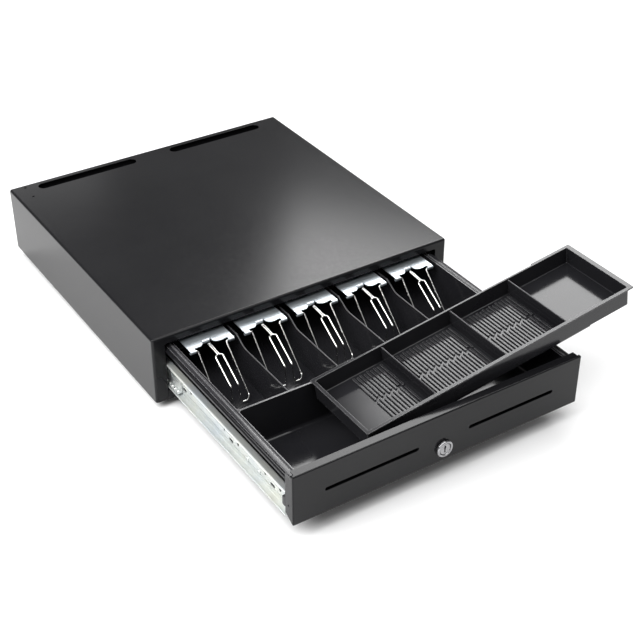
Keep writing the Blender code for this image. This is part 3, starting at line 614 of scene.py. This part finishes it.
# ---- slides ----------------------------------------------------------------------------

def cabinet_rail(label, side):
    node = f"cabinet_rail_{label}"
    low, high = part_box(node)
    inset = RAIL_SHEET / 2
    web, tip = max(abs(low.x), abs(high.x)) - inset, min(abs(low.x), abs(high.x))
    path = [(side * tip, low.z + inset), (side * web, low.z + inset), (side * web, high.z - inset),
            (side * tip, high.z - inset)]
    rail = prism(f"{node}_channel", "y", folded(path, RAIL_SHEET, 1.6 * MM), low.y, high.y, ZINC)
    middle = (low.z + high.z) / 2
    holes = [rod("rail_hole", "x", (low.y + along * MM, middle), 2.2 * MM, -SPARE + side * web,
                 SPARE + side * web, steps=20)
             for along in (18, 90, 200, 330)]
    carve(rail, *holes)
    soften(rail, 0.15 * MM, 2)
    settle(rail, "cabinet", "zinc_plated_steel", node)


def drawer_rail(label, side):
    """The moving channel: rounded ball races, turned lips, punched web, screws and a bumper."""
    node = f"drawer_rail_{label}"
    low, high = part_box(node)
    inset = RAIL_SHEET / 2
    outer, web = max(abs(low.x), abs(high.x)) - inset, min(abs(low.x), abs(high.x)) + inset
    lip = 2.5 * MM
    path = [(side * outer, low.z + lip), (side * outer, low.z + inset), (side * web, low.z + inset),
            (side * web, high.z - inset), (side * outer, high.z - inset), (side * outer, high.z - lip)]
    rail = prism(f"{node}_channel", "y", folded(path, RAIL_SHEET, 1.7 * MM), low.y, high.y, ZINC)
    middle = (low.z + high.z) / 2
    hole_height, slot_height = middle - 1.5 * MM, middle - 6 * MM
    reach = (side * web - SPARE / 4, side * web + SPARE / 4)
    tools = []
    for along in (22, 108, 214, 296):
        y = low.y + along * MM
        tools.append(rod("web_hole", "x", (y, hole_height), 2.1 * MM, *reach, steps=20))
        tools.append(prism("web_slot", "x", slot((y + 15 * MM, slot_height), 9 * MM, 4.2 * MM), *reach))
        tools.append(rod("web_small_hole", "x", (y + 30 * MM, hole_height), 1.6 * MM, *reach, steps=16))
    for height in (middle - 9.5 * MM, middle - 0.5 * MM):
        skin_face = web + inset
        tools.append(mirrored_block("web_groove", side, (skin_face - 0.5 * MM, low.y - SPARE, height),
                                    (skin_face + 0.3 * MM, high.y + SPARE, height + 1.1 * MM)))
    carve(rail, *tools)
    soften(rail, 0.15 * MM, 2)
    settle(rail, "drawer", "zinc_plated_steel", node)
    face = side * (web + inset)
    for index, along in enumerate((64, 88)):
        place = (face, low.y + along * MM, middle - 7 * MM)
        screw(f"{node}_screw_{index}", place, (side, 0, 0), 2.6 * MM, "drawer")
    near, far = sorted((face, side * (outer - 0.8 * MM)))
    stop = round_block(f"{node}_bumper", (near, low.y + 2 * MM, middle - 6 * MM),
                       (far, low.y + 8 * MM, middle + 6 * MM), 1 * MM, 3, MATT)
    smooth(stop)
    settle(stop, "drawer", "socket_plastic")


def ball_cage(label, side):
    """The strip with its two rows of steel balls; its front end shows under the open drawer."""
    node = f"ball_cage_{label}"
    low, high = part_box(node)
    skin = 0.8 * MM
    inset = skin / 2
    web, tip = min(abs(low.x), abs(high.x)) + inset, max(abs(low.x), abs(high.x))
    path = [(side * tip, low.z + inset), (side * web, low.z + inset), (side * web, high.z - inset),
            (side * tip, high.z - inset)]
    cage = prism(f"{node}_strip", "y", folded(path, skin, 1.1 * MM), low.y, high.y, ZINC)
    ball_x, pitch, ball_radius = side * 184.6 * MM, 6.5 * MM, 1.95 * MM
    places = [low.y + 4 * MM + pitch * index for index in range(5)]
    places += [high.y - 4 * MM - pitch * index for index in range(5)]
    tools = [rod("ball_hole", "z", (ball_x, y), 1.6 * MM, low.z - SPARE, high.z + SPARE,
                 steps=20) for y in places]
    tools += [prism("cage_window", "x", slot((low.y + along * MM, (low.z + high.z) / 2), 16 * MM, 9 * MM),
                    side * web - 3 * MM, side * web + 3 * MM) for along in (16, 50, 84)]
    carve(cage, *tools)
    soften(cage, 0.12 * MM, 2)
    settle(cage, node, "zinc_plated_steel", node)
    shape = bmesh.new()
    for y in places:
        for z in (low.z + inset, high.z - inset):
            bmesh.ops.create_uvsphere(shape, u_segments=16, v_segments=10, radius=ball_radius,
                                      matrix=Matrix.Translation((ball_x, y, z)))
    balls = add_shape(f"{node}_balls", shape, CHROME)
    smooth(balls, 60)
    settle(balls, node, "chromed_steel")


# ---- drawer ----------------------------------------------------------------------------

def drawer_front():
    low, high = FRONT
    returns_end, flange_end, flange_low = high.y, low.y + 10.5 * MM, high.z - 4.5 * MM
    front = round_block("front_panel", low, (high.x, low.y + 40 * MM, high.z), 1.6 * MM, 5, POWDER)
    inside = round_block("front_inside", (low.x + SHEET, low.y + SHEET, low.z + SHEET),
                         (high.x - SHEET, low.y + 60 * MM, high.z - SHEET), 0.5 * MM, 3)
    behind = block("front_behind", (low.x - SPARE, returns_end, 0), (high.x + SPARE, low.y + 80 * MM, 0.1))
    above = block("front_above", (low.x - SPARE, flange_end, flange_low),
                  (high.x + SPARE, low.y + 80 * MM, 0.1))
    slant_outline = [(low.y + SHEET, 0), (returns_end + SPARE, 0), (returns_end + SPARE, 21.6 * MM),
                     (returns_end - 1 * MM, 21.6 * MM), (low.y + SHEET, low.z + SHEET)]
    tools = [inside, behind, above,
             prism("front_slant", "x", slant_outline, low.x - SPARE, high.x + SPARE)]
    for side in (-1, 1):
        tools.append(mirrored_block("front_notch", side, (high.x - 3.6 * MM, low.y + 3.5 * MM, flange_low),
                                    (high.x + SPARE, low.y + 60 * MM, 0.1)))
        tools.append(prism("media_slot", "y", slot((side * 91.5 * MM, 44.2 * MM), 117 * MM, 4.8 * MM, 16),
                           low.y - SPARE, low.y + 10 * MM))
    tools.append(rod("lock_hole", "y", (0, LOCK_MIDDLE.z), 9.7 * MM, low.y - SPARE, low.y + 10 * MM,
                     steps=40))
    tools.append(rod("return_hole", "x", (low.y + 8.5 * MM, 35 * MM), 1.3 * MM, low.x - SPARE, 0, steps=20))
    carve(front, *tools)
    soften(front, 0.25 * MM)
    settle(front, "drawer", "powder_coated_steel", "drawer_front")


def drawer_pan():
    """One sheet folded into floor, walls and hemmed flanges, with a front lip and a rear wall."""
    low, high = PAN
    half, flange_half = 179.3 * MM, high.x
    middle = PAN_SHEET / 2
    flange_front = FRONT[0].y + 15.2 * MM
    right = [(flange_half - middle, high.z - 3.2 * MM), (flange_half - middle, high.z - middle),
             (half - middle, high.z - middle), (half - middle, low.z + middle)]
    path = right + [(-u, v) for u, v in reversed(right)]
    pan = prism("pan_sheet", "y", folded(path, PAN_SHEET, 1.4 * MM), low.y, high.y, POWDER)
    tools = [mirrored_block("pan_front_trim", side, (half, low.y - SPARE, 0),
                            (flange_half + SPARE, flange_front, 0.1))
             for side in (-1, 1)]
    carve(pan, *tools)
    lip = block("pan_lip", (-half + middle, low.y, low.z + middle / 2),
                (half - middle, low.y + PAN_SHEET, 24 * MM))
    rear = block("pan_rear", (-half + middle, high.y - PAN_SHEET, low.z + middle / 2),
                 (half - middle, high.y, high.z - middle / 2))
    fuse(pan, lip, rear)
    cam_room = block("cam_room", (-16 * MM, low.y - 2 * MM, 10 * MM),
                     (36 * MM, FRONT[0].y + 12.2 * MM, 30 * MM))
    carve(pan, cam_room)
    soften(pan, 0.15 * MM, 2)
    settle(pan, "drawer", "powder_coated_steel", "drawer_pan")


def till_tray():
    """The moulded till: a front bay and the bill bay, with rounded inner corners and a beaded rim."""
    low, high = TILL
    half, wall = 177.9 * MM, 1.9 * MM
    floor = low.z + 2 * MM
    front, rear = FRONT[0].y + 10.9 * MM, high.y
    cross_wall = FRONT[0].y + 127.5 * MM
    inner, corner = half - wall, 4 * MM
    tray = round_block("till_moulding", (-half, front, low.z), (half, rear, high.z + SPARE), 2.4 * MM, 4,
                       GLOSS)
    above = block("till_above", (-0.3, -0.6, high.z), (0.3, 0.1, 0.2))
    bay = round_block("till_bay", (-inner, front + wall, floor), (inner, cross_wall, high.z + 2 * SPARE),
                      corner)
    bills = round_block("till_bills", (-inner, cross_wall + wall, floor),
                        (inner, rear - wall, high.z + 2 * SPARE), corner)
    carve(tray, above, bay, bills)
    rim_low, bead = PAN[1].z + GAP, 1.1 * MM
    for side in (-1, 1):
        profile = [(half - wall, rim_low), (high.x, rim_low), (high.x, high.z - 0.5 * MM),
                   (high.x - 0.5 * MM, high.z - 0.2 * MM), (half + 2.6 * MM, high.z - 0.2 * MM),
                   (half + 2.1 * MM, high.z - 0.8 * MM), (half + 1.4 * MM, high.z - 0.8 * MM),
                   (half + 0.9 * MM, high.z - 0.1 * MM), (half - wall + bead, high.z + 0.15 * MM),
                   (half - wall, high.z - 0.3 * MM)]
        outline = [(side * u, v) for u, v in profile]
        fuse(tray, prism("till_rim", "y", outline, low.y, rear))
    soften(tray, 0.3 * MM)
    settle(tray, "drawer", "black_plastic", "till_tray")


def bill_divider(index):
    node = f"bill_divider_{index}"
    low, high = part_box(node)
    shoulder, step = 59.5 * MM, (-222 * MM, -241 * MM)
    outline = [(low.y, low.z), (high.y, low.z), (high.y, high.z), (step[0], high.z), (step[1], shoulder),
               (low.y, shoulder)]
    outline = rounded(outline, 4 * MM, True)
    wall = prism(f"{node}_wall", "x", outline, low.x, high.x, GLOSS)
    soften(wall, 0.7 * MM, 4)
    settle(wall, "drawer", "black_plastic", node)


def clip_bracket(index):
    """A plate over the rear of a compartment, whose lugs curl down round the clip's wire."""
    node = f"clip_bracket_{index}"
    low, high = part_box(node)
    middle = (low.x + high.x) / 2
    axis = CLIP_AXIS
    half, top, sheet = high.x - middle, high.z, PAN_SHEET
    rear = high.y
    edge = [(-half, rear), (-half, axis[0]), (-21.2 * MM, axis[0]), (-21.2 * MM, axis[0] + 2.7 * MM),
            (-12.5 * MM, axis[0] + 2.7 * MM), (-8.6 * MM, axis[0] + 6 * MM), (-8 * MM, axis[0] + 12 * MM),
            (3.5 * MM, axis[0] + 12 * MM), (4.2 * MM, axis[0] + 7 * MM), (6.5 * MM, axis[0] + 3.4 * MM),
            (10 * MM, axis[0] + 1.6 * MM), (15 * MM, axis[0] + 1.6 * MM), (18 * MM, axis[0] + 2.7 * MM),
            (21.2 * MM, axis[0] + 2.7 * MM), (21.2 * MM, axis[0]), (half, axis[0]), (half, rear)]
    outline = rounded([(middle + u, v) for u, v in edge], 0.9 * MM, True, 3)
    plate = prism(f"{node}_plate", "z", outline, top - sheet, top, BRIGHT_ZINC)
    hook = block("bracket_hook", (low.x, rear - sheet, low.z), (high.x, rear, top - sheet / 2))
    fuse(plate, hook)
    centre_radius = top - sheet / 2 - axis[1]
    lugs = ((-half, -21.2 * MM, axis[0]), (21.2 * MM, half, axis[0]), (-7 * MM, 2.5 * MM, axis[0] + 12 * MM))
    for start, end, y in lugs:
        curl = [(y + 2.5 * MM, axis[1] + centre_radius)]
        curl += disc((y, axis[1]), centre_radius, 14, math.pi / 2, math.radians(250))
        lug = prism("bracket_lug", "x", folded(curl, sheet * 0.98, 0.1 * MM, 1), middle + start, middle + end)
        fuse(plate, lug)
    soften(plate, 0.2 * MM, 2)
    settle(plate, "drawer", "zinc_plated_steel", node)


def clip_wire(index):
    """One bent wire: from the outer lugs to the feet, up over the knees, and round the fork's stem."""
    node = f"clip_wire_{index}"
    low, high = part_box(node)
    middle = (low.x + high.x) / 2
    y, z = CLIP_AXIS
    left = [(-27 * MM, y, z), (-18.2 * MM, y, z), (-19.5 * MM, y - 47 * MM, z - 47.5 * MM),
            (-14.5 * MM, y - 53 * MM, z - 48.8 * MM), (-5.5 * MM, y - 52.5 * MM, z - 48.6 * MM),
            (-4.7 * MM, y - 50.5 * MM, z - 25.5 * MM), (-4.7 * MM, y - 15.8 * MM, z - 3.9 * MM),
            (-1.15 * MM, y - 15 * MM, z - 3.5 * MM), (-1.15 * MM, y + 7.2 * MM, z - 1.9 * MM)]
    right = [(-u, v, w) for u, v, w in reversed(left)]
    points = [Vector((middle, 0, 0)) + place for place in rounded(left + right, 2.6 * MM, steps=7)]
    wire = tube(f"{node}_bent", points, WIRE_RADIUS, CHROME, 4)
    settle(wire, f"clip_{index}", "chromed_steel", node)


# ---- lock ------------------------------------------------------------------------------

def lock():
    """A polished bezel, a recessed plug with its keyway, and the threaded barrel behind."""
    centre = (0, FRONT[0].y, LOCK_MIDDLE.z)
    face, bore, bezel = 4 * MM, 7.2 * MM, 10.2 * MM
    profile = [(bore, face - 1.6 * MM), (bore + 0.25 * MM, face - 0.5 * MM),
               (bore + 0.7 * MM, face - 0.08 * MM), (8.4 * MM, face), (9.2 * MM, face - 0.12 * MM),
               (9.8 * MM, face - 0.5 * MM), (bezel, face - 1.2 * MM), (bezel, GAP + 0.3 * MM),
               (bezel - 0.25 * MM, GAP), (9.3 * MM, GAP)]
    depth = GAP - 0.7 * MM
    while depth > -8.4 * MM:
        profile += [(9.3 * MM, depth), (8.9 * MM, depth - 0.35 * MM)]
        depth -= 0.7 * MM
    profile += [(9.3 * MM, -8.4 * MM), (bore, -8.4 * MM)]
    housing = lathe("lock_bezel", profile, centre, (0, -1, 0), LOCK_METAL, 64, True)
    smooth(housing, 38)
    settle(housing, "drawer", "chromed_steel", "lock_housing")

    low = PLUG[0]
    radius = 6.8 * MM
    plug_profile = [(0, face - 1.5 * MM), (5.4 * MM, face - 1.5 * MM), (5.9 * MM, face - 1.2 * MM),
                    (6.5 * MM, face - 1.15 * MM), (radius, face - 1.4 * MM), (radius, -8.3 * MM),
                    (0, -8.3 * MM)]
    plug = lathe("lock_cylinder", plug_profile, centre, (0, -1, 0), LOCK_METAL, 56)
    way = [(-0.8, -4.2), (0.8, -4.2), (0.8, 0.6), (1.5, 1.2), (1.5, 3.0), (0.8, 4.2), (-0.8, 4.2),
           (-0.8, 2.2), (-1.4, 1.4), (-0.8, 0.6)]
    outline = [(u * MM, LOCK_MIDDLE.z + v * MM) for u, v in way]
    carve(plug, prism("key_way", "y", outline, low.y - SPARE, low.y + 6 * MM))
    smooth(plug, 30)
    settle(plug, "lock", "chromed_steel", "lock_plug")


# ---- coin tray -------------------------------------------------------------------------

TRAY_LENGTH = 365 * MM
TRAY_DEPTH = 109.5 * MM
TRAY_HEIGHT = 27 * MM
TRAY_RIM = 4.2 * MM
TRAY_WALL = 1.8 * MM
TRAY_TILT = math.radians(8.4)
TRAY_END_LIP = 4.2 * MM
HEEL = 3.6 * MM


def tray_place():
    """Where the tray's rear left rim corner is, with the tray's tilt."""
    low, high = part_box("coin_tray")
    corner = Vector((low.x, high.y, high.z - TRAY_LENGTH * math.sin(TRAY_TILT)))
    return Matrix.Translation(corner) @ Matrix.Rotation(-TRAY_TILT, 4, "Y")


def seat(item, width, steps=3):
    """Finish a piece that was drawn flat with the tray's corner at the origin."""
    soften(item, width, steps)
    item.data.transform(tray_place())
    return item


def coin_tray():
    floor = TRAY_WALL + HEEL - TRAY_HEIGHT
    body_inset, body_end = 2 * MM, TRAY_LENGTH - TRAY_END_LIP
    corner = 1.5 * MM
    tray = round_block("tray_moulding", (body_inset, body_inset - TRAY_DEPTH, -TRAY_HEIGHT),
                       (body_end, -body_inset, SPARE), 4 * MM, 6, GLOSS)
    above = block("tray_above", (-SPARE, -TRAY_DEPTH - SPARE, -1 * MM),
                  (TRAY_LENGTH + SPARE, SPARE, 3 * SPARE))
    carve(tray, above)
    rim = prism("tray_rim", "z", rectangle((0, -TRAY_DEPTH), (TRAY_LENGTH, 0), corner), -2 * MM, 0)
    fuse(tray, rim)
    inside = round_block("tray_inside", (TRAY_RIM, TRAY_RIM - TRAY_DEPTH, floor),
                         (body_end - TRAY_WALL, -TRAY_RIM, 2 * SPARE), 1.2 * MM, 4)
    finger_room = block("tray_finger_room", (57 * MM, -body_inset, -SPARE), (308 * MM, SPARE, SPARE))
    tools = [inside, finger_room]
    step_place = 62 * MM
    for start, end in ((-SPARE, step_place), (TRAY_LENGTH - step_place, TRAY_LENGTH + SPARE)):
        tools.append(block("tray_heel", (start, -TRAY_DEPTH - SPARE, -TRAY_HEIGHT - SPARE),
                           (end, SPARE, HEEL - TRAY_HEIGHT)))
    carve(tray, *tools)
    seat(tray, 0.3 * MM)
    settle(tray, "coin_tray", "black_plastic", "coin_tray")
    return floor


def tray_compartments():
    """The places of the tray's end walls and dividers, from its left end."""
    return [TRAY_RIM, 91.2 * MM, 186.3 * MM, 270.4 * MM, TRAY_LENGTH - TRAY_END_LIP - TRAY_WALL]


def coin_dividers(floor):
    walls = tray_compartments()[1:-1]
    for index, place in enumerate(walls, 1):
        wall = block(f"coin_divider_{index}_wall",
                     (place - 0.9 * MM, TRAY_RIM + GAP - TRAY_DEPTH, floor - 0.1 * MM),
                     (place + 0.9 * MM, -TRAY_RIM - GAP, -1.2 * MM), GLOSS)
        seat(wall, 0.7 * MM, 4)
        settle(wall, "coin_tray", "black_plastic", f"coin_divider_{index}")


def coin_ribs(floor):
    """Raised strips on the tray's floor, broken by staggered gaps, so that coins pick up easily."""
    walls = tray_compartments()
    pitch, width, height, half_gap = 4.6 * MM, 2.4 * MM, 2.0 * MM, 1.6 * MM
    front, rear = TRAY_RIM + 5 * MM - TRAY_DEPTH, -TRAY_RIM - 5 * MM
    stretches = ((0.50, 0.94), (0.06, 0.94), (0.06, 0.94), (0.04, 0.16))
    for index, (first, last) in enumerate(stretches):
        start = walls[index] + (walls[index + 1] - walls[index]) * first
        end = walls[index] + (walls[index + 1] - walls[index]) * last
        count = int((end - start) / pitch) + 1
        pieces = []
        for number in range(count):
            x = start + pitch * number
            stagger = (number % 2) * 3 * MM
            middle = (front + rear) / 2 + stagger
            for low, high in ((front + stagger / 2, middle - half_gap),
                              (middle + half_gap, rear - stagger / 2)):
                pieces.append(prism("rib", "z", slot_along_y(x, low, high, width), floor - 0.1 * MM,
                                    floor + height, GLOSS))
        ribs = gather(f"coin_ribs_{index + 1}", pieces)
        seat(ribs, 0.35 * MM, 3)
        settle(ribs, "coin_tray", "black_plastic")


def slot_along_y(x, low, high, width):
    outline = slot(((low + high) / 2, x), high - low, width, 6)
    return [(v, u) for u, v in outline]


def gather(name, items):
    """Join separate closed shapes into one object."""
    shape = bmesh.new()
    for item in items:
        shape.from_mesh(item.data)
        bpy.data.objects.remove(item, do_unlink=True)
    return add_shape(name, shape, GLOSS)


# ---- the parts behind the drawer -------------------------------------------------------

def coil():
    low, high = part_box("solenoid_coil")
    middle = (low + high) / 2
    inner, outer, turn = 3.4 * MM, high.x - middle.x, 0.8 * MM
    profile = [(inner, low.z - middle.z), (outer - turn, low.z - middle.z)]
    height = low.z - middle.z
    while height < high.z - middle.z - turn:
        profile += [(outer - turn / 4, height + turn * 0.2), (outer, height + turn / 2),
                    (outer - turn / 4, height + turn * 0.8)]
        height += turn
    profile += [(outer - turn, high.z - middle.z), (inner, high.z - middle.z)]
    winding = lathe("coil_winding_turns", profile, middle, (0, 0, 1), COPPER, 40, True)
    smooth(winding, 50)
    settle(winding, "cabinet", "coil_winding", "solenoid_coil")


def keep(node, finish, edge=0.2 * MM):
    """Show a CAD node as it is, with welded faces, eased edges and a new finish."""
    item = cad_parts[node]
    for slot_place in item.material_slots:
        slot_place.material = finish
    weld = item.modifiers.new("weld", "WELD")
    weld.merge_threshold = 0.01 * MM
    if edge:
        ease = item.modifiers.new("edges", "BEVEL")
        ease.width = edge
        ease.segments = 2
        ease.limit_method = "ANGLE"
        ease.angle_limit = math.radians(35)


def kept_nodes():
    keep("base_plate", POWDER)
    for node in ("rail_bracket_left", "rail_bracket_right", "latch_bracket", "solenoid_frame",
                 "ejector_housing", "latch_lever", "striker", "lock_nut", "lock_cam", "ejector_pin"):
        keep(node, ZINC, 0.15 * MM)
    for node in ("latch_pin", "latch_spring", "solenoid_plunger"):
        keep(node, CHROME, 0)


# ---- stage -----------------------------------------------------------------------------

CAMERA_PLACE = Vector((-0.69716, -1.31429, 0.93583))
CAMERA_DIRECTION = Vector((0.44762, 0.69323, -0.56487))
CAMERA_LENS = 74.38         # millimetres, on a 36 mm sensor


def softbox(name, place, target, size, power, colour=(1, 1, 1)):
    light = bpy.data.lights.new(name, "AREA")
    light.shape = "RECTANGLE"
    light.size, light.size_y = size
    light.energy = power
    light.color = colour
    lamp = bpy.data.objects.new(name, light)
    bpy.context.scene.collection.objects.link(lamp)
    lamp.location = place
    lamp.rotation_euler = (Vector(target) - Vector(place)).to_track_quat("-Z", "Y").to_euler()


def beyond(target, azimuth, height, distance):
    """A place seen from the target at an azimuth (from +Y towards +X) and a height in degrees."""
    around, up = math.radians(azimuth), math.radians(height)
    away = Vector((math.cos(up) * math.sin(around), math.cos(up) * math.cos(around), math.sin(up)))
    return Vector(target) + distance * away


def stage():
    reach = 6.0
    outline = [(-reach, -reach), (reach, -reach), (reach, reach), (-reach, reach)]
    floor = prism("floor", "z", outline, FLOOR_LEVEL - 0.02, FLOOR_LEVEL, pale_floor())

    world = bpy.data.worlds.new("studio")
    bpy.context.scene.world = world
    world.use_nodes = True
    background = world.node_tree.nodes["Background"]
    background.inputs["Color"].default_value = (1.0, 1.0, 1.0, 1.0)
    background.inputs["Strength"].default_value = 0.34
    cabinet = (0, 0, 0.08)
    softbox("front_overhead", (0.1, -1.0, 2.2), (0.05, -0.45, 0), (2.0, 1.4), 28)
    softbox("left_overhead", (-0.9, -0.25, 0.9), (-0.35, -0.1, 0), (0.8, 0.9), 18)
    softbox("right_panel", beyond(cabinet, 54.5, 44, 3.0), cabinet, (2.0, 1.3), 66)
    softbox("rear_panel_light", beyond(cabinet, 2, 19, 3.0), cabinet, (1.7, 1.0), 6)

    lens = bpy.data.cameras.new("camera")
    lens.lens = CAMERA_LENS
    lens.sensor_width = 36.0
    camera = bpy.data.objects.new("camera", lens)
    bpy.context.scene.collection.objects.link(camera)
    camera.location = CAMERA_PLACE
    camera.rotation_euler = CAMERA_DIRECTION.to_track_quat("-Z", "Y").to_euler()
    bpy.context.scene.camera = camera
    bpy.context.scene.view_settings.view_transform = "Standard"


# ---- everything ------------------------------------------------------------------------

cabinet_cover()
rear_panel()
feet()
connector_socket()
for name, way in (("left", -1), ("right", 1)):
    cabinet_rail(name, way)
    drawer_rail(name, way)
    ball_cage(name, way)
drawer_front()
drawer_pan()
till_tray()
for number in range(1, 5):
    bill_divider(number)
for number in range(1, 6):
    clip_bracket(number)
    clip_wire(number)
lock()
tray_floor = coin_tray()
coin_dividers(tray_floor)
coin_ribs(tray_floor)
coil()
kept_nodes()
stage()
